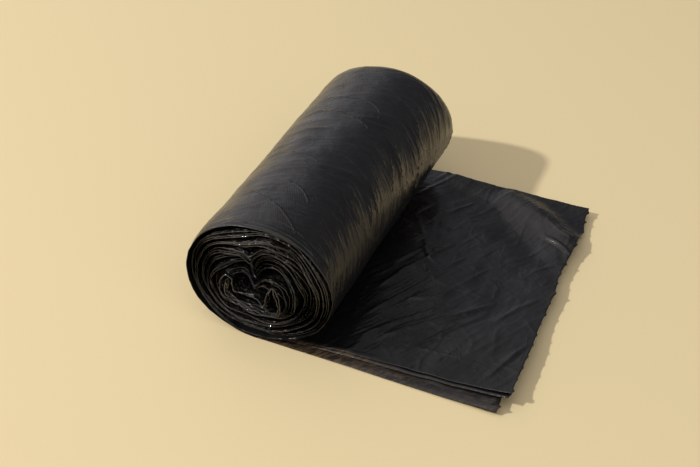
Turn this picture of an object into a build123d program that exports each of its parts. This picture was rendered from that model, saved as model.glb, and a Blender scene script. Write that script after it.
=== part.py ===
from build123d import *

import os
from math import asin, cos, degrees, exp, pi, sin

# A roll of bin bags: one long web of black film, folded to a quarter of the bag's width, wound on
# itself without a core tube. The mandrel has been drawn out, so the heart of the roll has sagged
# into two lobes. The last bag lies unrolled on the table, with its torn end curling up a little.
#
# Millimetres, +Z up, standing on Z = 0. X is the way the last bag is pulled off, Y is the roll's
# own length, and the origin is on the flat underside, below the roll and half way along it.

# the web: each turn drawn here stands for about fifteen of the real film's
web_width = 125.0  # the folded bag, so also the length of the roll
web_thickness = 0.70
panel_gap = 0.22  # air between the lower and upper panels of the unrolled bag
fold_wall = 0.8  # depth of film at the fold along the far edge

# the wound roll
roll_width = 54.0  # of the outline that the outermost turn starts on and then winds inside
roll_height = 45.0
turn_count = 10
turn_air = 0.28  # least air between one turn and the next, underneath, where they press together
flat_spot = 7.0  # width of the flat that the roll rests on
flat_fairing = 7.0  # over which the flat runs out into the round, on each side

# the hollow left by the mandrel
core_width = 22.0
core_height = 13.0
core_shift = -3.2  # away from the side that the bag is pulled to
core_rounding = 0.85  # 1 for an ellipse, less for a squarer outline
crease_depth = 6.2  # of the crease that parts the two lobes
crease_width = 3.6  # half its width at the hollow
crease_taper = 0.45  # share of that width it would lose on the way to the outside
crease_lean = 4.0  # how far it would lean back on the way to the outside
crease_reach = 0.60  # share of the wall, from the hollow outwards, that is creased
crease_fade = 0.15  # share of the wall over which it dies out, on each side of its reach

# the unrolled bag
tail_reach = 86.0  # from the origin to the torn end's front corner
tail_skew = 1.0  # the torn end's far corner lies this much nearer the roll
tail_lift = 2.8  # how high the torn end curls
curl_length = 33.0  # along which it curls
root_length = 14.0  # from the origin to where the two panels part, under the roll
upper_setback = 5.6  # the upper panel's front edge falls behind the lower one's, at the torn end
lower_shortfall = 3.2  # the lower panel's front corner is torn this much shorter than the upper's
nub_pitch = 6.4  # between the little points that the perforation leaves on the torn end
nub_length = 1.0
nub_width = 1.8

arcs_per_turn = 36  # each face of the web is drawn as short arcs

turn_pitch = web_thickness + turn_air
core_floor = turn_count * turn_pitch + web_thickness
panel_thickness = (web_thickness - panel_gap) / 2
front = -web_width / 2
back = web_width / 2


def ramp(value, start, end):
    """Rises smoothly from 0 at start to 1 at end."""
    t = min(max((value - start) / (end - start), 0.0), 1.0)
    return t * t * (3 - 2 * t)


def outer_loop(angle):
    """The roll's outline, an ellipse with a flat underneath. The angle runs from the bottom of
    the roll up the side away from the tail."""
    across = -roll_width / 2 * sin(angle)
    height = roll_height / 2 * (1 - cos(angle))
    if cos(angle) > 0:
        height *= ramp(abs(across), flat_spot / 2, flat_spot / 2 + flat_fairing)
    return across, height


def core_loop(angle):
    """The hollow's outline before it is creased, a rounded oblong."""
    rise = abs(cos(angle)) ** core_rounding * (1 if cos(angle) < 0 else -1)
    return core_shift - core_width / 2 * sin(angle), core_floor + core_height / 2 * (1 + rise)


def web_point(angle, level):
    """A point of the section. The level is 0 at the hollow and 1 at the roll's outline."""
    core_x, core_z = core_loop(angle)
    outer_x, outer_z = outer_loop(angle)
    x = core_x + (outer_x - core_x) * level
    z = core_z + (outer_z - core_z) * level
    if cos(angle) < 0:
        depth = crease_depth * (1 - ramp(level, crease_reach - crease_fade, crease_reach + crease_fade))
        width = crease_width * (1 - crease_taper * level)
        off_crease = x - core_shift / 2 + crease_lean * level
        z -= depth * exp(-((off_crease / width) ** 2))
    return x, z


def wall_depth(angle):
    """The room between the hollow and the outline, measured outwards."""
    core_x, core_z = core_loop(angle)
    outer_x, outer_z = outer_loop(angle)
    return (core_x - outer_x) * sin(angle) + (core_z - outer_z) * cos(angle)


def face_point(wound, inner):
    """A point of the web's outer or inner face, so many turns in from the tail."""
    angle = 2 * pi * wound
    level = 1 - wound * turn_pitch / core_floor
    if inner:
        level -= web_thickness / wall_depth(angle)
    return web_point(angle, level)


def face_curves(inner):
    """The web's outer or inner face from the tail to the hollow, as short arcs end to end."""
    arcs = []
    for i in range(turn_count * arcs_per_turn):
        points = [face_point((i + share) / arcs_per_turn, inner) for share in (0, 0.5, 1)]
        arcs.append(ThreePointArc(*points))
    return arcs


def wound_turns():
    """The whole spiral, with the flat run under the roll that the unrolled bag grows from."""
    outer, inner = face_curves(False), face_curves(True)
    under = Line((root_length, 0), outer[0] @ 0)
    over = Line((root_length, web_thickness), inner[0] @ 0)
    ends = [Line(under @ 0, over @ 0), Line(outer[-1] @ 1, inner[-1] @ 1)]
    section = make_face(Plane.XZ * Wire([under, over, *outer, *inner, *ends]))
    return extrude(section, amount=web_width / 2, both=True)


def tail_layer(low, high):
    """The unrolled bag between two heights in the web's thickness: flat, then curling up."""
    flat_end = tail_reach - curl_length
    curl_radius = (curl_length**2 + tail_lift**2) / (2 * tail_lift)
    curl_angle = 1.2 * degrees(asin(curl_length / curl_radius))
    faces = []
    for height in (low, high):
        faces.append(Line((root_length, height), (flat_end, height)))
        faces.append(CenterArc((flat_end, curl_radius), curl_radius - height, -90, curl_angle))
    ends = [Line(faces[0] @ 0, faces[2] @ 0), Line(faces[1] @ 1, faces[3] @ 1)]
    section = make_face(Plane.XZ * Wire([*faces, *ends]))
    return extrude(section, amount=web_width / 2, both=True)


def torn_plan(setback, shortfall):
    """A panel seen from above: its front edge falls back by the setback, and its torn end, with
    a little point wherever the perforation tore, is short by the shortfall at the front."""
    front_corner = (tail_reach - shortfall, front + setback)
    back_corner = (tail_reach - tail_skew, back)
    length = back_corner[1] - front_corner[1]
    points = [(0, back), (0, front), (root_length, front), front_corner]
    nubs = int(length / nub_pitch)
    for i in range(nubs):
        middle = (i + 0.5) * length / nubs
        for along, out in ((-nub_width / 2, 0), (0, nub_length), (nub_width / 2, 0)):
            share = (middle + along) / length
            x = front_corner[0] + (back_corner[0] - front_corner[0]) * share
            points.append((x + out, front_corner[1] + middle + along))
    points.append(back_corner)
    return extrude(make_face(Polyline(*points, close=True)), amount=roll_height)


def unrolled_bag():
    """A lower and an upper panel, joined along the far edge by the fold."""
    lower = tail_layer(0, panel_thickness) & torn_plan(0, lower_shortfall)
    upper = tail_layer(web_thickness - panel_thickness, web_thickness) & torn_plan(upper_setback, 0)
    between = tail_layer(panel_thickness, web_thickness - panel_thickness) & torn_plan(0, 0)
    fold = split(between, Plane.XZ.offset(fold_wall - back), keep=Keep.BOTTOM)
    return lower + upper + fold


wound_web = (wound_turns() + unrolled_bag()).clean()

os.makedirs("parts", exist_ok=True)
export_step(wound_web, "parts/wound_web.step")
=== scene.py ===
import math
import bpy
import numpy as np
from mathutils import Matrix, Vector


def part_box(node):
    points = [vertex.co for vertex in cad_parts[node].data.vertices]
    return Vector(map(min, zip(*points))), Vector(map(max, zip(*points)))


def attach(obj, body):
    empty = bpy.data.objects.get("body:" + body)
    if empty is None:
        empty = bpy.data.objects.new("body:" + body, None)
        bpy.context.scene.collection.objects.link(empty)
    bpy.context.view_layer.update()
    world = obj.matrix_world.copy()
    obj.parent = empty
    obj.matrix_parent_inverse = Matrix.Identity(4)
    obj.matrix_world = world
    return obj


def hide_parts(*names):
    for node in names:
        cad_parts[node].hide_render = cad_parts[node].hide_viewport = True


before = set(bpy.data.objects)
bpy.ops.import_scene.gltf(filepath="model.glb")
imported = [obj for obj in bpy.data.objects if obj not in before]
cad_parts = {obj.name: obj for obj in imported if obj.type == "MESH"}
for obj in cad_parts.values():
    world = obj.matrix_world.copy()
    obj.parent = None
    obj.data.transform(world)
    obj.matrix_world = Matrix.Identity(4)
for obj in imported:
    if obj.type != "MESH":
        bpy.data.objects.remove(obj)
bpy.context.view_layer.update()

mm = 0.001
webNode = "wound_web"
(boxLow, boxHigh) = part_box(webNode)
webFront, webBack = boxLow[1], boxHigh[1]
webWidth = webBack - webFront
webMm = round(webWidth / mm, 3)  # the same width in mm, for places along the roll
print("frame loaded, web", round(webWidth, 4), "m wide")


# sums written as Python: every operation on a Field adds its node

class Field:
    def __init__(self, graph, socket):
        self.graph, self.socket = graph, socket

    def maths(self, operation, *values):
        return self.graph.add("ShaderNodeMath", dict(operation=operation), values)

    def __add__(self, other): return self.maths("ADD", self, other)
    def __radd__(self, other): return self.maths("ADD", other, self)
    def __sub__(self, other): return self.maths("SUBTRACT", self, other)
    def __rsub__(self, other): return self.maths("SUBTRACT", other, self)
    def __mul__(self, other): return self.maths("MULTIPLY", self, other)
    def __rmul__(self, other): return self.maths("MULTIPLY", other, self)
    def __truediv__(self, other): return self.maths("DIVIDE", self, other)
    def __pow__(self, other): return self.maths("POWER", self, other)
    def __abs__(self): return self.maths("ABSOLUTE", self)
    def sin(self): return self.maths("SINE", self)
    def cos(self): return self.maths("COSINE", self)
    def exp(self): return self.maths("EXPONENT", self)
    def sqrt(self): return self.maths("SQRT", self)
    def above(self, other): return self.maths("GREATER_THAN", self, other)
    def clipped(self): return self.graph.add("ShaderNodeClamp", {}, (self, 0.0, 1.0))


class Graph:
    def __init__(self, tree):
        self.tree = tree

    def add(self, kind, settings, values=(), out=0):
        node = self.tree.nodes.new(kind)
        for name, value in settings.items():
            if name == "stops":
                self.setStops(node.color_ramp, value)
            else:
                setattr(node, name, value)
        pairs = values.items() if isinstance(values, dict) else enumerate(values)
        for key, value in pairs:
            socket = node.inputs[key]
            if isinstance(key, str):
                socket = next(s for s in node.inputs if s.name == key and s.enabled)
            if isinstance(value, Field):
                self.tree.links.new(value.socket, socket)
            elif value is not None:
                socket.default_value = value
        usable = [s for s in node.outputs if s.enabled]
        picked = usable[out] if isinstance(out, int) and usable else None
        if isinstance(out, str):
            picked = next(s for s in usable if s.name == out)
        return Field(self, picked)

    def setStops(self, ramp, stops):
        while len(ramp.elements) < len(stops):
            ramp.elements.new(1.0)
        for element, (place, grey) in zip(ramp.elements, stops):
            element.position, element.color = place, (grey, grey, grey, 1)

    def mixColours(self, share, one, other):
        return self.add("ShaderNodeMix", dict(data_type="RGBA"), {"Factor": share, "A": one, "B": other})

    def vector(self, x, y, z):
        return self.add("ShaderNodeCombineXYZ", {}, (x, y, z))

    def noise(self, place, scale, detail=2.0, rough=0.5, warp=0.0):
        values = {"Vector": place, "Scale": scale, "Detail": detail, "Roughness": rough, "Distortion": warp}
        return self.add("ShaderNodeTexNoise", dict(noise_dimensions="3D"), values)


def by(name, value):
    # the same sum works on a Field and on an array
    return getattr(value, name)() if isinstance(value, Field) else getattr(np, name)(value)


def clipped(value):
    return value.clipped() if isinstance(value, Field) else np.clip(value, 0.0, 1.0)


def above(value, limit):
    return value.above(limit) if isinstance(value, Field) else np.where(value > limit, 1.0, 0.0)


def ramp(value, start, end):
    share = clipped((value - start) / (end - start))
    return share * share * (3.0 - 2.0 * share)


# the section of the roll: the angle runs from the bottom up the side away from the tail, and the
# level is 0 at the hollow and 1 outside

roll = dict(width=54.0 * mm, height=45.0 * mm, flat=7.0 * mm, fairing=7.0 * mm)
winding = dict(turns=7, pitch=1.40 * mm, film=0.50 * mm, squeeze=0.5, squeezeFade=0.8)
hollow = dict(width=22.0 * mm, height=12.5 * mm, shift=-3.4 * mm, rounding=0.85)
crease = dict(depth=6.0 * mm, width=2.6 * mm, taper=0.5, tip=0.35 * mm, mouth=-2.2 * mm, lean=4.2 * mm,
              fadeFrom=0.50, fadeTo=0.68, sides=0.35)
lobes = dict(tilt=1.6 * mm, middle=-3.8 * mm, spread=4.0 * mm)
settling = dict(start=25.0 * mm, wider=0.045, lower=0.012, rounding=0.026, roundFrom=2.4 * mm)
hollowFloor = winding["turns"] * winding["pitch"] + winding["film"]
levelPerTurn = winding["pitch"] / hollowFloor


def packed(wound):
    # the outermost turns lie closer together than the rest
    return wound - by("exp", wound * -winding["squeezeFade"]) * winding["squeeze"]


def outline(angle):
    across = by("sin", angle) * (-roll["width"] / 2)
    height = (1.0 - by("cos", angle)) * (roll["height"] / 2)
    lifted = ramp(abs(across), roll["flat"] / 2, roll["flat"] / 2 + roll["fairing"])
    upper = above(by("cos", angle) * -1.0, 0.0)
    return across, height * (lifted + upper * (1.0 - lifted))


def hollowOutline(angle):
    cosine = by("cos", angle)
    side = 1.0 - 2.0 * above(cosine, 0.0)
    rise = side * abs(cosine) ** hollow["rounding"]
    across = hollow["shift"] - by("sin", angle) * (hollow["width"] / 2)
    return across, hollowFloor + (rise + 1.0) * (hollow["height"] / 2)


def wallDepth(angle):
    innerX, innerZ = hollowOutline(angle)
    outerX, outerZ = outline(angle)
    return (innerX - outerX) * by("sin", angle) + (innerZ - outerZ) * by("cos", angle)


def creaseMiddle(level):
    return crease["mouth"] - level * crease["lean"]


def sectionPoint(angle, level):
    innerX, innerZ = hollowOutline(angle)
    outerX, outerZ = outline(angle)
    x = innerX + (outerX - innerX) * level
    z = innerZ + (outerZ - innerZ) * level
    upper = clipped(by("cos", angle) * -1.0)
    tilt = (x - lobes["middle"]) / lobes["spread"]
    tilt = tilt / by("sqrt", tilt * tilt + 1.0)
    z = z + upper * upper * level * (1.0 - level) * tilt * (4.0 * lobes["tilt"])
    off = x - creaseMiddle(level)
    near = by("sqrt", off * off + crease["tip"] ** 2) - crease["tip"]
    narrow = crease["width"] * (1.0 - crease["taper"] * level)
    depth = crease["depth"] * (1.0 - ramp(level, crease["fadeFrom"], crease["fadeTo"]))
    z = z - ramp(upper, 0.0, crease["sides"]) * depth * by("exp", near / narrow * -1.0)
    return x, z


def settled(x, y, z):
    # towards the far end the roll has sunk a little flatter and wider, and both of its rims are rounded
    share = ramp(y, webFront + settling["start"], webBack)
    fade = -settling["roundFrom"]
    ends = by("exp", (y - webFront) / fade) + by("exp", (webBack - y) / fade)
    rounded = 1.0 - ends * settling["rounding"]
    wide, high = 1.0 + share * settling["wider"], 1.0 - share * settling["lower"]
    return x * wide * rounded, z * high * rounded


# soft noise on arrays, for the sheets that are shaped one by one

def softNoise(seed, *places):
    # smooth random values from -1 to 1, in cells of 1
    size = 32
    lattice = np.random.default_rng(seed).uniform(-1.0, 1.0, (size,) * len(places))
    low = [np.floor(p).astype(int) for p in places]
    part = [p - l for p, l in zip(places, low)]
    part = [t * t * t * (t * (t * 6 - 15) + 10) for t in part]
    total = 0.0
    for corner in range(2 ** len(places)):
        bits = [corner >> i & 1 for i in range(len(places))]
        share = 1.0
        for bit, t in zip(bits, part):
            share = share * (t if bit else 1 - t)
        total = total + share * lattice[tuple((l + bit) % size for l, bit in zip(low, bits))]
    return total


def roughNoise(seed, octaves, *places):
    total = 0.0
    for i in range(octaves):
        total = total + softNoise(seed + i, *[p * 2.0 ** i for p in places]) * 0.5 ** i
    return total


def lineNoise(seed, place, octaves=1):
    # noise that varies along one direction only
    return roughNoise(seed, octaves, place, np.zeros_like(place))


def creased(seed, sharpness, *places):
    # a network of fine creases from 0 to 1
    return (1.0 - np.abs(softNoise(seed, *places))) ** sharpness


def smoothPath(points, steps=8):
    # a curve through a few chosen points
    before = np.subtract(points[0], points[1]) + points[0]
    after = np.subtract(points[-1], points[-2]) + points[-1]
    p = np.array([before, *points, after], float)
    rows = []
    for i in range(1, len(p) - 2):
        for t in np.linspace(0, 1, steps, endpoint=False):
            a = 2 * p[i] + (p[i + 1] - p[i - 1]) * t
            b = (2 * p[i - 1] - 5 * p[i] + 4 * p[i + 1] - p[i + 2]) * t ** 2
            c = (3 * p[i] - p[i - 1] - 3 * p[i + 1] + p[i + 2]) * t ** 3
            rows.append((a + b + c) / 2)
    return np.array(rows + [p[-2]])


def foldHeight(u, v, points, width, height, step=0.0):
    # a fold line's height over a surface: a ridge, or with step a ridge beside a valley
    path = smoothPath(points)
    nearest = np.full(u.shape, np.inf)
    signed = np.zeros(u.shape)
    along = np.zeros(u.shape)
    for i in range(len(path) - 1):
        start, run = path[i], path[i + 1] - path[i]
        length = np.hypot(*run)
        t = np.clip(((u - start[0]) * run[0] + (v - start[1]) * run[1]) / length ** 2, 0, 1)
        du, dv = u - start[0] - t * run[0], v - start[1] - t * run[1]
        distance = np.hypot(du, dv)
        closer = distance < nearest
        nearest = np.where(closer, distance, nearest)
        signed = np.where(closer, (run[0] * dv - run[1] * du) / length, signed)
        along = np.where(closer, (i + t) / (len(path) - 1), along)
    taper = np.sin(np.pi * np.clip(along, 0.02, 0.98)) ** 0.6
    bell = np.exp(-(nearest / width) ** 2)
    return height * taper * bell * ((1 - step) + step * 1.6 * signed / width)


print("section and folds ready")


def newPiece(name, points, faces, uvs=None):
    mesh = bpy.data.meshes.new(name)
    mesh.from_pydata([tuple(p) for p in points], [], [tuple(f) for f in faces])
    if uvs is not None:
        layer = mesh.uv_layers.new(name="webPlace")
        corners = np.empty(len(mesh.loops), dtype=np.int32)
        mesh.loops.foreach_get("vertex_index", corners)
        layer.data.foreach_set("uv", np.asarray(uvs, dtype=np.float32)[corners].ravel())
    mesh.shade_smooth()
    piece = bpy.data.objects.new(name, mesh)
    bpy.context.collection.objects.link(piece)
    return piece


def gridNormals(surface):
    down = np.gradient(surface, axis=0)
    over = np.gradient(surface, axis=1)
    normals = np.cross(down, over)
    return normals / np.maximum(np.linalg.norm(normals, axis=2, keepdims=True), 1e-12)


def rimOf(index):
    return np.concatenate([index[0, :], index[1:, -1], index[-1, -2::-1], index[-2:0:-1, 0]])


def filmSheet(name, surface, film, places, skip=1):
    # a grid of points becomes a closed sheet of film under that surface; places are its UVs, and with
    # skip the underside has one point for every few of the grid's
    rows, columns = surface.shape[:2]
    pick = [np.unique(np.append(np.arange(0, size, skip), size - 1)) for size in (rows, columns)]
    inner = (surface - gridNormals(surface) * film)[np.ix_(*pick)]
    points = np.concatenate([surface.reshape(-1, 3), inner.reshape(-1, 3)])
    outerIndex = np.arange(rows * columns).reshape(rows, columns)
    innerIndex = np.arange(inner.shape[0] * inner.shape[1]).reshape(inner.shape[:2]) + rows * columns
    faces = []
    for index, order in ((outerIndex, (0, 1, 2, 3)), (innerIndex, (3, 2, 1, 0))):
        corners = np.stack([index[:-1, :-1], index[1:, :-1], index[1:, 1:], index[:-1, 1:]], -1)
        faces += corners.reshape(-1, 4)[:, order].tolist()
    rim = rimOf(outerIndex).tolist()
    innerRim = rimOf(innerIndex)
    overRim = rimOf(outerIndex[np.ix_(*pick)])
    rimPlace = {point: i for i, point in enumerate(rim)}
    for i in range(len(innerRim)):
        j = (i + 1) % len(innerRim)
        start, stop = rimPlace[overRim[i]], rimPlace[overRim[j]] or len(rim)
        upper = [rim[k % len(rim)] for k in range(start, stop + 1)]
        faces.append(upper + [innerRim[j], innerRim[i]])
    uvs = np.concatenate([places.reshape(-1, 2), places[np.ix_(*pick)].reshape(-1, 2)])
    return newPiece(name, points, faces, uvs)


# places round the roll are counted in steps of so many degrees from the start; turnLength is one turn's
# film in mm, and streaks slant by the lean and bend by the sweep on each side of the crown
aroundRoll = dict(start=75.0, step=1.6, turnLength=155, lean=0.075, sweep=0.275, crown=84.0)

# long thin creases in the film round the roll: the places round it where each starts and ends, its
# place along the roll at the start, how far it slopes, how far it hooks and how late, and its height
longCreases = [
    (34, 76.5, 95.6, 2.4, 9.0, 12, 0.26), (34, 76, 84.6, 3.4, 5.4, 3, 0.24),
    (38, 65, 67.4, -3.4, 0.6, 4, 0.14), (54, 75, 31.6, 3.0, 7.0, 3, 0.22),
    (38, 79, 24.5, 8.0, 11.0, 2, 0.20), (88, 112, 78.0, 8.0, 4.0, 2, 0.24),
    (92, 106, 70.0, 6.0, 5.0, 2, 0.22), (70, 110, 56.0, 9.0, 6.0, 3, 0.18),
    (80, 112, 43.0, 9.0, 5.0, 2, 0.22), (60, 100, 108.0, 6.0, 9.0, 3, 0.16),
    (30, 66, 52.0, 2.0, 4.0, 3, 0.12), (66, 104, 8.0, 2.4, 1.0, 2, 0.20),
    (30, 92, 4.6, 0.6, 0.6, 2, 0.20), (40, 88, 2.8, 0.2, 0.6, 2, 0.18),
    (20, 70, 1.5, 0.2, 0.3, 2, 0.16),
]


def turnedTo(degrees):
    return (degrees - aroundRoll["start"]) / aroundRoll["step"]


def creaseLines(turned, length, narrow):
    # the creases' height, by place round the roll and along it
    total = 0.0
    for start, end, place, slope, hook, sharp, rise in longCreases:
        t = clipped((turned - start) / (end - start))
        bend = t ** (sharp - 1.0)
        off = length - place + t * slope + bend * t * hook
        steep = (bend * (hook * sharp) + slope) / (end - start)
        off = off / by("sqrt", steep * steep + 1.0)
        shown = ramp(t, 0.0, 0.25) * (1.0 - ramp(t, 0.96, 1.0))
        total = total + by("exp", off * off * -narrow) * shown * (rise * mm)
    return total


def webRelief(graph, place, look, height, varying):
    # what follows the film's own direction: the embossing, the streaks, the long creases and the painted
    # reflection on the front edge;
    # u is the place along the web in m, below 0 round the roll and above 0 on the unrolled bag
    webPlace = graph.add("ShaderNodeUVMap", dict(uv_map="webPlace"))
    split = graph.add("ShaderNodeSeparateXYZ", {}, (webPlace,)).socket.node.outputs
    u, v = Field(graph, split[0]), Field(graph, split[1])
    fromFront = (v - webFront) / mm
    onTail = u.above(0.0)
    calm = 1.0 - onTail * look["tailCalm"]
    patch = ramp(graph.noise(place, look["patchScale"], 2.0, 0.5), 0.42, 0.60)
    pitch = 2 * math.pi / look["emboss"]
    weave = by("sin", (u + v * 0.45) * pitch) * by("sin", (v - u * 0.45) * pitch)
    height = height + weave * patch * look["embossHeight"]

    # across and along the streaks, which run 1 in 2 over the unrolled bag
    turned = turnedTo(u * (-360.0 / (aroundRoll["turnLength"] * mm)))
    leaning = turned * aroundRoll["lean"] + abs(turned - aroundRoll["crown"]) * aroundRoll["sweep"]
    drift = graph.noise(place, 70.0, 1.0) * (4 * mm)
    around = v + leaning * mm + drift
    unit = 0.447
    across = around + onTail * ((u * 2.0 - v) * unit - around)
    along = u + onTail * ((u + v * 2.0) * unit - u)
    thread = graph.noise(graph.vector(across * 700.0, along * 90.0, 0.0), 1.0, 3.0, 0.6)
    height = height + ramp(thread, 0.42, 0.80) * look["streakHeight"] * (0.35 + patch) * calm
    broad = graph.noise(graph.vector(across * 260.0, along * 45.0, 3.0), 1.0, 2.0, 0.5)
    height = height + ramp(broad, 0.44, 0.75) * (look["streakHeight"] * look["broadShare"]) * calm
    net = graph.noise(graph.vector(across, along * 0.5, 0.0), look["netScale"], 1.0, 0.5, 0.8)
    height = height + (abs(net - 0.5) * -look["netNarrow"]).exp() * look["creaseHeight"]
    varying["Height"] = height + creaseLines(turned, fromFront, look["longNarrow"])

    # painted reflection: the unrolled bag's front edge is tinted warm brown in the emboss hatch, standing for
    # the floor's light and the highlight it reflects
    edge = onTail * (1.0 - ramp(fromFront, 4.2, 6.4)) * (0.2 + ramp(u, 0.070, 0.015) * 0.8)
    hatch = graph.noise(graph.vector((u - v) * 900.0, (u + v) * 160.0, 0.0), 1.0, 2.0, 0.5)
    shown = edge * (0.15 + ramp(hatch, 0.44, 0.58) * 0.85)
    varying["Base Color"] = graph.mixColours(shown, varying["Base Color"], look["paintedWarmReflection"])
    varying["Coat Weight"] = ramp(graph.noise(place, 120.0, 2.0, 0.5), 0.35, 0.65) * look["coat"]


def filmMaterial(name, look):
    material = bpy.data.materials.new(name)
    material.use_nodes = True
    material.node_tree.nodes.clear()
    graph = Graph(material.node_tree)
    shader = graph.add("ShaderNodeBsdfPrincipled", {}, {
        "IOR": look["ior"], "Specular Tint": look["warmth"], "Coat Weight": look["coat"],
        "Coat Roughness": look["coatRoughness"]})
    place = graph.add("ShaderNodeTexCoord", {}, out="Object")
    fine = graph.noise(place, 1500.0, 3.0, 0.6)
    cloudy = graph.noise(place, 55.0, 3.0, 0.55)
    crumple = graph.noise(place, look["crumpleScale"], 4.0, 0.62, 0.6)
    facets = graph.add("ShaderNodeTexVoronoi", {}, {"Vector": place, "Scale": look["facetScale"]}, "Distance")
    height = (fine - 0.5) * look["fineHeight"] + (crumple - 0.5) * look["crumpleHeight"]
    height = height + facets * look["facetHeight"]
    varying = {"Base Color": graph.mixColours(cloudy, look["dark"], look["light"]),
               "Roughness": look["roughness"] + (cloudy - 0.5) * 0.18 + (fine - 0.5) * 0.12}
    if look["onWeb"]:
        webRelief(graph, place, look, height, varying)
    else:
        varying["Height"] = height
    bump = graph.add("ShaderNodeBump", {}, {"Height": varying.pop("Height"), "Distance": 1.0,
                                            "Strength": look["bump"]})
    varying["Normal"] = bump
    for socketName, value in varying.items():
        graph.tree.links.new(value.socket, shader.socket.node.inputs[socketName])
    out = graph.tree.nodes.new("ShaderNodeOutputMaterial")
    graph.tree.links.new(shader.socket, out.inputs["Surface"])
    return material


outerFilm = filmMaterial("outerFilm", dict(
    onWeb=True, dark=(0.0050, 0.0048, 0.0050, 1), light=(0.0085, 0.0082, 0.0085, 1),
    # the warm brown colour here is a painted reflection, laid on the unrolled bag's front edge
    paintedWarmReflection=(0.075, 0.050, 0.026, 1), warmth=(1, 0.91, 0.87, 1), ior=1.52, roughness=0.31,
    coat=0.18, coatRoughness=0.16, bump=0.9, fineHeight=0.02 * mm,
    crumpleHeight=0.26 * mm, crumpleScale=240.0, facetHeight=0.04 * mm, facetScale=420.0,
    emboss=0.85 * mm, embossHeight=0.024 * mm, patchScale=34.0, tailCalm=0.72,
    streakHeight=0.12 * mm, broadShare=2.6, creaseHeight=0.07 * mm, netScale=75.0, netNarrow=34.0,
    longNarrow=6.0))
endFilm = filmMaterial("endFilm", dict(
    onWeb=False, dark=(0.0022, 0.0021, 0.0020, 1), light=(0.0044, 0.0040, 0.0036, 1),
    warmth=(1, 0.93, 0.87, 1), ior=1.5, roughness=0.20, coat=1.0, coatRoughness=0.045, bump=1.0,
    fineHeight=0.03 * mm, crumpleHeight=1.0 * mm, crumpleScale=480.0, facetHeight=0.7 * mm,
    facetScale=620.0))


# the wound turns: a flat strip of web for each panel, wound up by Geometry Nodes

turns = dict(perTurn=150, film=0.15 * mm, reach=20 * mm, wobble=1.5 * mm, wobbleSize=9 * mm,
             crumple=0.7 * mm, crumpleSize=2.0 * mm, setback=3.2 * mm, setbackTurns=0.6, setbackReach=9 * mm,
             nibble=0.4 * mm, bunch=0.085, bunchTurns=0.72, bunchLag=1.3, loosened=2.4 * mm, stagger=1.2)
pit = dict(depth=3.2 * mm, x=-7.4 * mm, z=24.5 * mm, wide=3.4 * mm, high=5.0 * mm)
panels = {
    "lower_panel_turns": dict(start=0.08, offset=1.00, setback=0.10 * mm, seed=3.1),
    "middle_panel_turns": dict(start=0.0, offset=0.62, setback=0.30 * mm, seed=7.7),
    "upper_panel_turns": dict(start=0.0, offset=0.82, setback=0.20 * mm, seed=12.9),
}


def rimSetback(angle):
    # how far the outer turns' edges fall behind the roll's end, more on top and towards the tail
    top = clipped(by("cos", angle) * -1.0)
    right = clipped(by("sin", angle) * -1.0)
    return (top * 1.5 + right * 1.9 + 0.25) * mm


def flatStrip(name, start, turnCount):
    # the strip before winding: X counts turns, Y runs along the roll, Z goes through the film
    ends = np.array([0.0, 0.25, 0.8, 1.8, 3.6, 7.0, 12.0, 20.0, 40.0]) * mm
    across = np.concatenate([webFront + ends, webBack - ends[::-1]])
    half = np.full(len(across), turns["film"] / 2)
    half[[0, -1]] = 0.0
    half[[1, -2]] *= 0.6
    loop = [(y, h) for y, h in zip(across, half)]
    loop += [(y, -h) for y, h in zip(across[-2:0:-1], half[-2:0:-1])]
    steps = int((turnCount - start) * turns["perTurn"])
    points = [(start + (turnCount - start) * i / steps, y, z) for i in range(steps + 1) for y, z in loop]
    size = len(loop)
    faces = []
    for i in range(steps):
        for j in range(size):
            k = (j + 1) % size
            faces.append((i * size + j, i * size + k, (i + 1) * size + k, (i + 1) * size + j))
    faces.append(tuple(range(size))[::-1])
    faces.append(tuple(steps * size + j for j in range(size)))
    return newPiece(name, points, faces)


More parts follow.
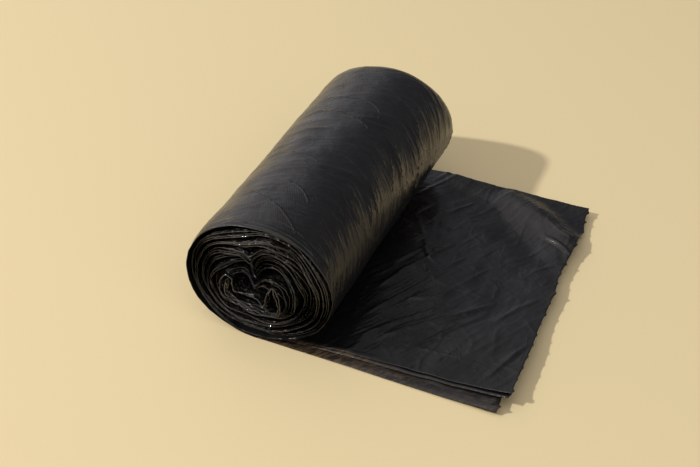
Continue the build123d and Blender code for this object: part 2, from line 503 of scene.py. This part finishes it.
def windingTree():
    tree = bpy.data.node_groups.new("windTheWeb", "GeometryNodeTree")
    face = tree.interface
    face.new_socket("Strip", in_out="INPUT", socket_type="NodeSocketGeometry")
    for label in ("Panel Offset", "Setback", "Wobble", "Crumple", "Seed"):
        face.new_socket(label, in_out="INPUT", socket_type="NodeSocketFloat")
    face.new_socket("Film", in_out="INPUT", socket_type="NodeSocketMaterial")
    face.new_socket("Turns", in_out="OUTPUT", socket_type="NodeSocketGeometry")
    graph = Graph(tree)
    given = tree.nodes.new("NodeGroupInput")
    ask = {s.name: Field(graph, s) for s in given.outputs if s.name}
    here = graph.add("GeometryNodeInputPosition", {})
    parts = graph.add("ShaderNodeSeparateXYZ", {}, (here,)).socket.node.outputs
    wound, along, through = [Field(graph, s) for s in parts]

    angle = wound * (2 * math.pi)
    level = 1.0 - packed(wound + ask["Panel Offset"]) * levelPerTurn
    swing = level * (2 * math.pi / (levelPerTurn * turns["bunchTurns"]))
    swing = by("sin", swing + by("sin", angle) * turns["bunchLag"])
    level = level + swing * (turns["bunch"] * levelPerTurn)
    depth = wallDepth(angle)
    upper = clipped(by("cos", angle) * -1.0)
    inner = 1.0 - ramp(level, 0.06, 0.20)
    level = level - upper * inner * turns["loosened"] / depth

    fromFront, fromBack = along - webFront, webBack - along
    frontShare = by("exp", fromFront / -turns["reach"])
    backShare = by("exp", fromBack / -turns["reach"])
    nearEnd = frontShare + backShare
    x, z = sectionPoint(angle, level)
    place = graph.vector(x, along, z)
    drift = graph.noise(place, 1.0 / turns["wobbleSize"], 1.0) - 0.5
    loose = 0.15 + upper * 0.85
    firm = ramp(1.0 - level, 0.02, 0.16)
    own = graph.vector(x + wound * 0.013, along, z + ask["Seed"])
    crumpled = graph.noise(own, 1.0 / turns["crumpleSize"], 2.0, 0.55) - 0.5
    nearCrease = by("exp", abs(x - creaseMiddle(level)) / (-5.0 * mm)) * upper
    shift = drift * ask["Wobble"] * firm * loose * (0.3 + nearEnd)
    shift = shift + crumpled * ask["Crumple"] * firm * (0.25 + nearCrease) * (0.15 + nearEnd)
    level = level + (shift + through) / depth
    x, z = sectionPoint(angle, level)

    turning = graph.vector(by("cos", angle) * 0.7, by("sin", angle) * 0.7,
                           wound / turns["setbackTurns"] + ask["Seed"] * 0.02)
    ragged = ramp(graph.noise(turning, 1.0, 1.0), 0.30, 0.72)
    nibble = graph.noise(graph.vector(x, z, ask["Seed"]), 320.0, 2.0) - 0.5
    setback = ask["Setback"] + ragged * turns["setback"] * firm + nibble * turns["nibble"]
    setback = setback + rimSetback(angle) * by("exp", (wound + ask["Panel Offset"]) * -turns["stagger"])
    fromPit = ((x - pit["x"]) / pit["wide"]) ** 2.0 + ((z - pit["z"]) / pit["high"]) ** 2.0
    setback = setback + by("exp", fromPit * -1.0) * pit["depth"]
    fade = -turns["setbackReach"]
    along = along + setback * (by("exp", fromFront / fade) - 0.5 * by("exp", fromBack / fade))

    x, z = settled(x, along, z)
    placed = graph.add("GeometryNodeSetPosition", {}, {"Geometry": ask["Strip"],
                                                       "Position": graph.vector(x, along, z)})
    whole = graph.add("GeometryNodeRealizeInstances", {}, {"Geometry": placed})
    finished = graph.add("GeometryNodeSetMaterial", {}, {"Geometry": whole, "Material": ask["Film"]})
    out = tree.nodes.new("NodeGroupOutput")
    tree.links.new(finished.socket, out.inputs["Turns"])
    return tree


def applied(piece):
    # the evaluated result becomes the piece's own plain mesh
    bpy.context.view_layer.update()
    shape = piece.evaluated_get(bpy.context.evaluated_depsgraph_get())
    mesh = bpy.data.meshes.new_from_object(shape)
    piece.modifiers.clear()
    piece.data = mesh
    mesh.name = piece.name
    mesh.shade_smooth()
    return piece


windTheWeb = windingTree()
woundPieces = []
for name, panel in panels.items():
    strip = flatStrip(name, panel["start"], winding["turns"] - panel["offset"])
    modifier = strip.modifiers.new("winding", "NODES")
    modifier.node_group = windTheWeb
    sizes = {"Panel Offset": panel["offset"], "Setback": panel["setback"], "Wobble": turns["wobble"],
             "Crumple": turns["crumple"], "Seed": panel["seed"], "Film": endFilm}
    for socket in windTheWeb.interface.items_tree:
        if socket.name in sizes:
            modifier[socket.identifier] = sizes[socket.name]
    woundPieces.append(applied(strip))
    print("wound", name, len(strip.data.polygons), "faces")


# the inner end of the web: a flattened loop left by the mandrel, pinched into two eyes

innerEnd = dict(layers=3, step=0.30 * mm, film=0.16 * mm, wobble=0.35 * mm, crumple=0.22 * mm,
                setback=1.3 * mm, nibble=0.25 * mm, reach=12 * mm, setbackReach=9 * mm)
innerPath = [(-1.0, 10.6), (-6.0, 11.0), (-11.0, 12.0), (-14.0, 14.6), (-14.9, 18.0), (-14.2, 21.4),
             (-12.4, 22.8), (-10.7, 21.6), (-10.2, 19.0), (-9.4, 17.2), (-6.5, 16.7), (-3.0, 16.4),
             (-0.4, 15.4), (1.2, 14.4), (1.9, 16.6), (2.7, 20.4), (4.2, 23.2), (5.7, 20.8), (6.9, 17.4),
             (7.3, 14.2), (6.2, 11.9), (3.0, 11.4), (-3.0, 12.2), (-9.0, 13.0), (-12.6, 15.0),
             (-13.3, 18.0), (-12.8, 20.4), (-11.9, 20.6), (-11.6, 18.4), (-11.9, 16.6)]


def innerSheet(name, layer):
    path = smoothPath(innerPath, 9) * mm
    ahead = np.gradient(path, axis=0)
    ahead /= np.linalg.norm(ahead, axis=1, keepdims=True)
    side = np.stack([ahead[:, 1], -ahead[:, 0]], -1)
    share = np.linspace(0, 1, len(path))
    ends = np.array([0.0, 0.5, 1.1, 1.9, 3.0, 4.6, 7.0, 11.0, 18.0, 32.0]) * mm
    y = np.concatenate([webFront + ends, webBack - ends[::-1]])
    fromFront, fromBack = y - webFront, webBack - y
    nearEnd = np.exp(-fromFront / innerEnd["reach"]) + np.exp(-fromBack / innerEnd["reach"])
    run = np.cumsum(np.append(0, np.linalg.norm(np.diff(path, axis=0), axis=1))) / mm
    rows, columns = np.meshgrid(run, y / mm, indexing="ij")
    shift = softNoise(81 + layer, rows / 5.0, columns / 9.0) * innerEnd["wobble"]
    crumpled = roughNoise(91 + layer, 2, rows / 1.7, columns / 3.0)
    shift = shift + crumpled * innerEnd["crumple"] * (0.25 + nearEnd)
    shift = shift + (layer - 0.6) * innerEnd["step"] * np.minimum(1.0, 0.2 + share * 3.0)[:, None]
    place = path[:, None, :] + side[:, None, :] * shift[:, :, None]
    setback = (0.3 + 0.35 * layer + 0.9 * lineNoise(101 + layer, run / 7.0)) * innerEnd["setback"]
    nibbled = lineNoise(111 + layer, rows / 1.3, 2) * innerEnd["nibble"]
    setback = np.maximum(setback, 0.0)[:, None] + nibbled
    fade = -innerEnd["setbackReach"]
    along = y[None, :] + setback * (np.exp(fromFront / fade) - np.exp(fromBack / fade))
    x, z = settled(place[:, :, 0], along, place[:, :, 1])
    surface = np.stack([x, along, z], -1)
    sheet = filmSheet(name, surface, innerEnd["film"], np.stack([rows, columns], -1) * mm)
    sheet.data.materials.append(endFilm)
    print(name, len(sheet.data.polygons), "faces")
    return sheet


innerPieces = [innerSheet(f"inner_end_{layer + 1}", layer) for layer in range(innerEnd["layers"])]


# the outside: the last bag's lower panel, from its torn end along the table and once round the roll;
# nubPitch, front, frontStep and frontBand are plain mm
tail = dict(lowEnd=82.8 * mm, highEnd=86.0 * mm, farEnd=85.0 * mm, nubPitch=6.4, nub=0.9 * mm,
            gap=0.24 * mm, clear=0.18 * mm, curlFrom=50.0 * mm, lift=3.0 * mm, film=0.15 * mm, over=0.9 * mm,
            front=3.0, frontStep=1.3, frontSlant=2.4 * mm, endStep=0.9 * mm, skip=3)
skin = dict(ends=1.08, tailRows=44, columns=262, frontBand=4.0, frontColumns=20, rows=(20, 196, 28),
            stops=(0.0, 62.0, 270.0), lengthColumn=60, film=0.14 * mm, swell=0.22 * mm, flare=0.14 * mm,
            longNarrow=2.0, backStep=0.2 * mm, frontIn=0.25 * mm, wave=0.35 * mm, skip=4)

# fold lines: places along the film (or round the roll, as aroundRoll counts them) and across it in mm,
# then the fold's width, its height and how one-sided it is
bodyFolds = [
    ([(50, 83.5), (58, 82), (66, 80), (72, 77.5), (75, 76)], 2.2, 0.40, 0.3),
    ([(91, 76), (96, 73), (103, 70), (110, 66)], 1.3, 0.45, 0.4),
    ([(94, 69), (99, 63), (104, 60)], 1.2, 0.40, 0.4),
    ([(84, 58), (92, 50), (100, 46), (110, 41)], 1.4, 0.40, 0.4),
    ([(86, 40), (95, 34), (106, 29)], 1.2, 0.40, 0.4),
    ([(84, 112), (90, 104), (98, 99), (108, 96)], 1.4, 0.45, 0.4),
    ([(48, 22), (54, 19), (60, 15), (66, 11), (72, 7)], 2.0, 0.30, 0.3),
]
tailBroad = [
    ([(20, 120), (36, 113), (50, 106), (66, 92), (84, 74)], 6.0, -1.90, 0.2),
    ([(48, 122), (60, 116), (72, 108), (82, 100), (92, 90)], 6.5, 3.60, 0.2),
    ([(36, 14), (47, 27), (58, 39), (67, 50)], 3.6, 0.80, 0.5),
    ([(60, 8), (70, 26), (80, 44)], 6.0, 0.70, 0.3),
]
tailFolds = [
    ([(37, 64), (36.5, 70), (35, 80), (33, 92), (31, 106)], 1.6, 0.25, 0.5),
    ([(37, 64), (34, 60), (31, 55), (28, 45)], 1.3, 0.80, 0.5),
    ([(37, 64), (40, 60), (43, 56)], 1.1, 0.80, 0.5),
    ([(37, 64), (39, 68), (40, 74)], 1.1, 0.80, 0.5),
    ([(34, 72), (38, 67), (41, 65)], 1.0, 0.60, 0.5),
    ([(36, 14), (47, 27), (58, 39), (67, 50)], 1.3, 0.90, 0.6),
    ([(38, 40), (45, 44), (52, 50)], 1.0, 0.60, 0.5),
    ([(44, 10), (52, 22), (60, 34), (67, 44)], 1.0, 0.60, 0.5),
    ([(30, 12), (38, 24), (47, 36), (55, 44)], 1.0, 0.50, 0.5),
    ([(76, 12), (80, 22), (84, 32)], 1.1, 0.80, 0.5),
    ([(73, 99), (79, 96), (85, 91)], 0.8, 1.50, 0.5),
    ([(72, 108), (78, 103), (84, 101)], 1.0, 0.70, 0.4),
    ([(24, 92), (29, 84), (34, 74), (37, 66)], 1.2, 0.30, 0.4),
    ([(52, 70), (60, 66), (70, 68), (80, 70)], 1.3, 0.35, 0.3),
    ([(70, 40), (76, 52), (82, 60)], 1.1, 0.60, 0.4),
    ([(76, 76), (81, 82), (85, 84)], 0.9, 0.60, 0.4),
]


def folded(folds, u, v):
    total = 0.0
    for points, width, height, step in folds:
        total = total + foldHeight(u, v, points, width, height, step)
    return total


def bodyRelief(angle, y):
    # how far the film stands off the roll, by angle round it and place along it
    u = turnedTo(np.degrees(angle))
    v = (y - webFront) / mm
    relief = folded(bodyFolds, u, v) * mm + creaseLines(u, v, skin["longNarrow"])
    relief = relief + (roughNoise(11, 3, u / 17.0 + v / 60.0, v / 26.0) + 0.6) * skin["swell"]
    across, along = v + u * aroundRoll["lean"] + aroundRoll["sweep"] * np.abs(u - aroundRoll["crown"]), u
    across = across + softNoise(20, u / 13.0, v / 17.0) * 2.2
    streak = softNoise(21, across / 1.35, along / 11.0) + 0.6 * softNoise(22, across / 2.9, along / 17.0)
    patchy = 0.4 + 0.6 * ramp(softNoise(23, u / 24.0, v / 21.0), -0.3, 0.4)
    streakHeight = 0.16 + 0.32 * ramp(u, 74.0, 90.0)
    relief = relief + np.maximum(streak, 0.0) ** 1.5 * streakHeight * patchy * mm
    bent = softNoise(24, u / 15.0, v / 13.0) * 3.0
    relief = relief + creased(25, 9, (u + bent) / 11.0, (v - bent) / 8.0) * 0.13 * mm * patchy
    relief = relief + creased(26, 7, (u - bent) / 5.0 + v / 24.0, (v + bent) / 3.4) * 0.07 * mm
    relief = relief + np.maximum(np.sin(angle - 0.25), 0.0) ** 2 * 0.6 * mm
    rim = np.exp(-v / 1.4) * (0.4 + 0.9 * lineNoise(31, u / 8.0)) * skin["flare"]
    lines = np.sin(v * 2.4 + lineNoise(33, u / 12.0) * 1.5) * np.exp(-((v - 3.0) / 2.4) ** 2)
    return relief + rim + lines * 0.12 * mm


def tailEdge(y, near, far):
    # the torn end: slanted, with a little point at each bridge of the perforation
    v = (y - webFront) / mm
    share = np.clip(v / webMm, 0, 1)
    bulge = 0.8 * mm * np.exp(-((v - 104.0) / 14.0) ** 2)
    edge = near + (far - near) * np.minimum(share * 2.2, 1.0) + bulge
    phase = np.abs((v / tail["nubPitch"] + 0.25) % 1.0 - 0.5)
    nubs = np.maximum(0.0, 1.0 - phase * 8.0) * tail["nub"]
    edge = edge + nubs * (0.8 + 0.4 * lineNoise(41, v / tail["nubPitch"]))
    return edge + lineNoise(43, v / 11.0) * 0.5 * mm


def tailShape(x, y):
    # the height that all the panels of the unrolled bag share
    u, v = x / mm, (y - webFront) / mm
    share = np.clip((x - tail["curlFrom"]) / (tail["highEnd"] - tail["curlFrom"]), 0, 1.2)
    uneven = 0.62 + 0.38 * lineNoise(51, v / 34.0) - 0.50 * ramp(v, 96.0, 124.0)
    curl = share ** 2 * tail["lift"] * uneven
    swell = (roughNoise(53, 3, u / 24.0, v / 30.0) + 0.7) * 0.60 * mm + folded(tailBroad, u, v) * mm
    height = curl + ramp(u, 12.0, 34.0) * (swell + 0.9 * mm)
    soft = 0.3 * mm  # it levels out softly where it would dip below the floor
    return np.sqrt(height ** 2 + soft ** 2) * 0.5 + height * 0.5


def tailWrinkles(x, y):
    u, v = x / mm, (y - webFront) / mm
    wrinkles = folded(tailFolds, u, v) * mm
    unit = 2.236  # fine wrinkles run 1 in 2
    slant, along = (u * 2.0 - v) / unit, (u + v * 2.0) / unit
    patch = ramp(u, 16.0, 24.0) * (1.0 - ramp(u, 46.0, 56.0))
    patch = patch * ramp(v, 6.0, 16.0) * (1.0 - ramp(v, 46.0, 60.0))
    fine = np.abs(np.sin(slant * math.pi / 1.5 + softNoise(61, u / 9.0, v / 14.0) * 2.4)) ** 0.8
    wrinkles = wrinkles + (1.0 - fine) * patch * 0.26 * mm * (0.6 + 0.6 * softNoise(63, u / 5.0, v / 9.0))
    streak = softNoise(65, slant / 1.7, along / 14.0)
    streakHeight = 0.12 + 0.30 * (1.0 - ramp(u, 44.0, 60.0))
    wrinkles = wrinkles + np.maximum(streak, 0.0) ** 2 * streakHeight * mm
    bent = softNoise(66, u / 14.0, v / 12.0) * 3.0
    wrinkles = wrinkles + creased(67, 9, (u + bent) / 10.0, (v - bent) / 12.0) * 0.17 * mm
    wrinkles = wrinkles + creased(68, 7, (slant + bent) / 3.2, (along - bent) / 6.0) * 0.08 * mm
    return ramp(u, 10.0, 26.0) * wrinkles


def lowPanel(x, y):
    # the front edge is a soft fold, round at the front and rising under the panels above
    v = (y - webFront) / mm
    bend = np.sqrt(1.0 - (1.0 - np.clip(v / 2.6, 0.0, 1.0)) ** 2)
    ripple = 0.25 * mm * np.maximum(softNoise(71, x / mm / 3.0, v / 1.6), 0.0) * ramp(x / mm, 8.0, 24.0)
    return tail["clear"] + (tailShape(x, y) * (0.8 + 0.2 * ramp(v, 5.0, 12.0)) + ripple) * bend


def highPanel(x, y, layer):
    # the middle and top panels: the middle one takes the shared height and the top one lies over it
    u, v = x / mm, (y - webFront) / mm
    middle = tail["clear"] + tailShape(x, y) + tail["gap"]
    if layer == 1:
        return middle
    corner = np.clip((u - 60.0) / 26.0, 0, 1) ** 2 * (1.0 - ramp(v, 6.0, 34.0)) * 0.7 * mm
    spread = 1.0 + ramp(u, 20.0, 46.0) * np.maximum(0.25 + softNoise(75, u / 19.0, v / 23.0), 0.0)
    top = middle + tail["gap"] * spread + corner + tailWrinkles(x, y)
    return np.maximum(top, middle + tail["film"] * 1.3)


def makeSkin():
    band = np.linspace(0.0, skin["frontBand"], skin["frontColumns"])[:-1]
    share = np.concatenate([band, np.linspace(skin["frontBand"], webMm, skin["columns"])]) / webMm
    t = np.linspace(1.0, 0.0, skin["tailRows"])
    edge = tailEdge(webFront + webWidth * share, tail["lowEnd"], tail["farEnd"])
    x = t[:, None] * edge[None, :]
    back = webBack - skin["backStep"] + tail["over"] * ramp(x / mm, 6.0, 20.0)
    yy = webFront + skin["frontIn"] + (back - webFront - skin["frontIn"]) * share[None, :]
    blend = ramp(x / mm, 0.0, 8.0)
    z = lowPanel(x, yy) * blend + skin["film"] * (1 - blend)
    flatPart = np.stack([x, yy, z], -1)

    stops = [*skin["stops"], skin["ends"] * 360.0]
    spans = zip(stops[:-1], stops[1:], skin["rows"])
    angle = np.radians(np.concatenate([np.linspace(*span)[1:] for span in spans]))
    wound = angle / (2 * math.pi)
    wave = lineNoise(35, np.degrees(angle) / 21.0) * skin["wave"]
    first = webFront + rimSetback(angle) * np.exp(-wound * turns["stagger"]) + wave
    last = webBack - rimSetback(angle + 0.6) * 0.3 - wave
    yy = first[:, None] + (last - first)[:, None] * share[None, :]
    angle = np.broadcast_to(angle[:, None], yy.shape)
    degrees = np.degrees(angle)
    free = ramp(degrees, 14.0, 40.0) * (1.0 - ramp(degrees, 300.0, 335.0))
    level = 1.0 - wound[:, None] * levelPerTurn + bodyRelief(angle, yy) * free / wallDepth(angle)
    x, z = sectionPoint(angle, level)
    x, z = settled(x, yy, np.maximum(z, 0.0) + skin["film"] * (1 - ramp(degrees, 0.0, 60.0)))
    surface = np.concatenate([flatPart, np.stack([x, yy, z], -1)])
    along = np.concatenate([flatPart[:, skin["lengthColumn"], 0], -wound * aroundRoll["turnLength"] * mm])
    return surface, np.stack(np.broadcast_arrays(along[:, None], surface[:, :, 1]), -1)


surface, places = makeSkin()
outerSkin = filmSheet("outer_skin", surface[:, ::-1], skin["film"], places[:, ::-1], skin["skip"])
outerSkin.data.materials.append(outerFilm)
print("outer skin", len(outerSkin.data.polygons), "faces")


def makePanel(name, layer, rows, columns):
    t = np.linspace(1.0, 0.0, rows)
    share = np.linspace(0.0, 1.0, columns)
    gridT, gridShare = np.meshgrid(t, share, indexing="ij")
    x = gridT * tail["highEnd"]
    setback = (tail["front"] + tail["frontStep"] * (layer - 1)) * mm
    front = webFront + setback + tail["frontSlant"] * ramp(x / mm, 4.0, 70.0)
    front = front + lineNoise(73 + layer, x / mm / 16.0) * 0.35 * mm
    y = front + (webBack + tail["over"] * ramp(x / mm, 6.0, 20.0) - front) * gridShare
    x = gridT * tailEdge(y, tail["highEnd"] - tail["endStep"] * (2 - layer), tail["farEnd"])
    z = highPanel(x, y, layer)
    blend = ramp(x / mm, 0.0, 12.0)
    offset = panels[("middle_panel_turns", "upper_panel_turns")[layer - 1]]["offset"]
    z = z * blend + packed(offset) * winding["pitch"] * (1 - blend)
    surface, places = np.stack([x, y, z], -1), np.stack([x, y], -1)
    sheet = filmSheet(name, surface[:, ::-1], tail["film"], places[:, ::-1], tail["skip"])
    sheet.data.materials.append(outerFilm)
    print(name, len(sheet.data.polygons), "faces")
    return sheet


middlePanel = makePanel("middle_panel", 1, 72, 96)
topPanel = makePanel("top_panel", 2, 180, 250)


# the floor, the light and the camera

ground = dict(reach=3, colour=(0.82, 0.66, 0.37, 1), roughness=0.75)
corners = [(i * ground["reach"], j * ground["reach"], 0) for i, j in ((-1, -1), (1, -1), (1, 1), (-1, 1))]
floor = newPiece("floor", corners, [(0, 1, 2, 3)])
floorPaint = bpy.data.materials.new("floorPaint")
floorPaint.use_nodes = True
paint = floorPaint.node_tree.nodes["Principled BSDF"].inputs
paint["Base Color"].default_value = ground["colour"]
paint["Roughness"].default_value = ground["roughness"]
floor.data.materials.append(floorPaint)

light = dict(key=2.24, distance=2.0, disk=0.085, keyFrom=(-1.11, -0.83, 1.0),
             darkSide=(0.60, 0.77, 0.20), fill=0.13, gain=0.75, eased=0.27,
             brightFill=(1.0, 0.975, 1.0, 1), darkFill=(0.92, 0.97, 1.08, 1))
towards = Vector(light["keyFrom"]).normalized()
keyData = bpy.data.lights.new("key", "AREA")
keyData.shape = "DISK"
keyData.size = light["disk"]
keyData.energy = math.pi * light["distance"] ** 2 * light["key"]
key = bpy.data.objects.new("key", keyData)
bpy.context.collection.objects.link(key)
key.location = towards * light["distance"]
key.rotation_euler = towards.to_track_quat("Z", "Y").to_euler()


def studioWorld():
    # soft fill, bright on the light's side and dim on the far right
    world = bpy.data.worlds.new("studio")
    bpy.context.scene.world = world
    world.use_nodes = True
    world.node_tree.nodes.clear()
    graph = Graph(world.node_tree)
    facing = graph.add("ShaderNodeTexCoord", {}, out="Generated")
    side = Vector(light["darkSide"]).normalized()
    dim = graph.add("ShaderNodeVectorMath", dict(operation="DOT_PRODUCT"), (facing, side), out="Value")
    share = ramp(dim * -1.0, -0.76, -0.04)
    colour = graph.mixColours(share, light["darkFill"], light["brightFill"])
    strength = share * light["gain"] + light["fill"] - ramp(dim * -1.0, -0.05, 0.5) * light["eased"]
    filled = graph.add("ShaderNodeBackground", {}, {"Color": colour, "Strength": strength})
    out = graph.tree.nodes.new("ShaderNodeOutputWorld")
    graph.tree.links.new(filled.socket, out.inputs["Surface"])


studioWorld()

# distance and target are in web widths
shot = dict(azimuth=18.085, elevation=35.791, roll=5.784, distance=3.6911, target=(0.0461, 0.5609, 0.0),
            lens=63.04)


def aimCamera():
    az, el, turn = (math.radians(shot[k]) for k in ("azimuth", "elevation", "roll"))
    back = Vector((math.sin(az) * math.cos(el), -math.cos(az) * math.cos(el), math.sin(el)))
    target = Vector(shot["target"]) * webWidth + Vector((0, webFront, 0))
    place = target + back * shot["distance"] * webWidth
    right = (-back).cross(Vector((0, 0, 1))).normalized()
    up = back.cross(right)
    across = right * math.cos(turn) + up * math.sin(turn)
    over = up * math.cos(turn) - right * math.sin(turn)
    data = bpy.data.cameras.new("camera")
    data.lens = shot["lens"]
    data.sensor_width = 36.0
    camera = bpy.data.objects.new("camera", data)
    bpy.context.collection.objects.link(camera)
    turned = Matrix((across, over, back)).transposed().to_4x4()
    camera.matrix_world = Matrix.Translation(place) @ turned
    bpy.context.scene.camera = camera


aimCamera()
bpy.context.scene.view_settings.view_transform = "Standard"

# the length in m of each piece of film, unwound; each is as wide as the web
pieces = woundPieces + innerPieces + [outerSkin, middlePanel, topPanel]
for piece in pieces:
    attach(piece, "root")
    held = "laid" if piece in (middlePanel, topPanel) else "folded"
    area = sum(face.area for face in piece.data.polygons) / 2
    print("film", piece.name, "length", round(area / webWidth, 4), "m")
    under = ["floor"] if held == "laid" else []
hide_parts(webNode)
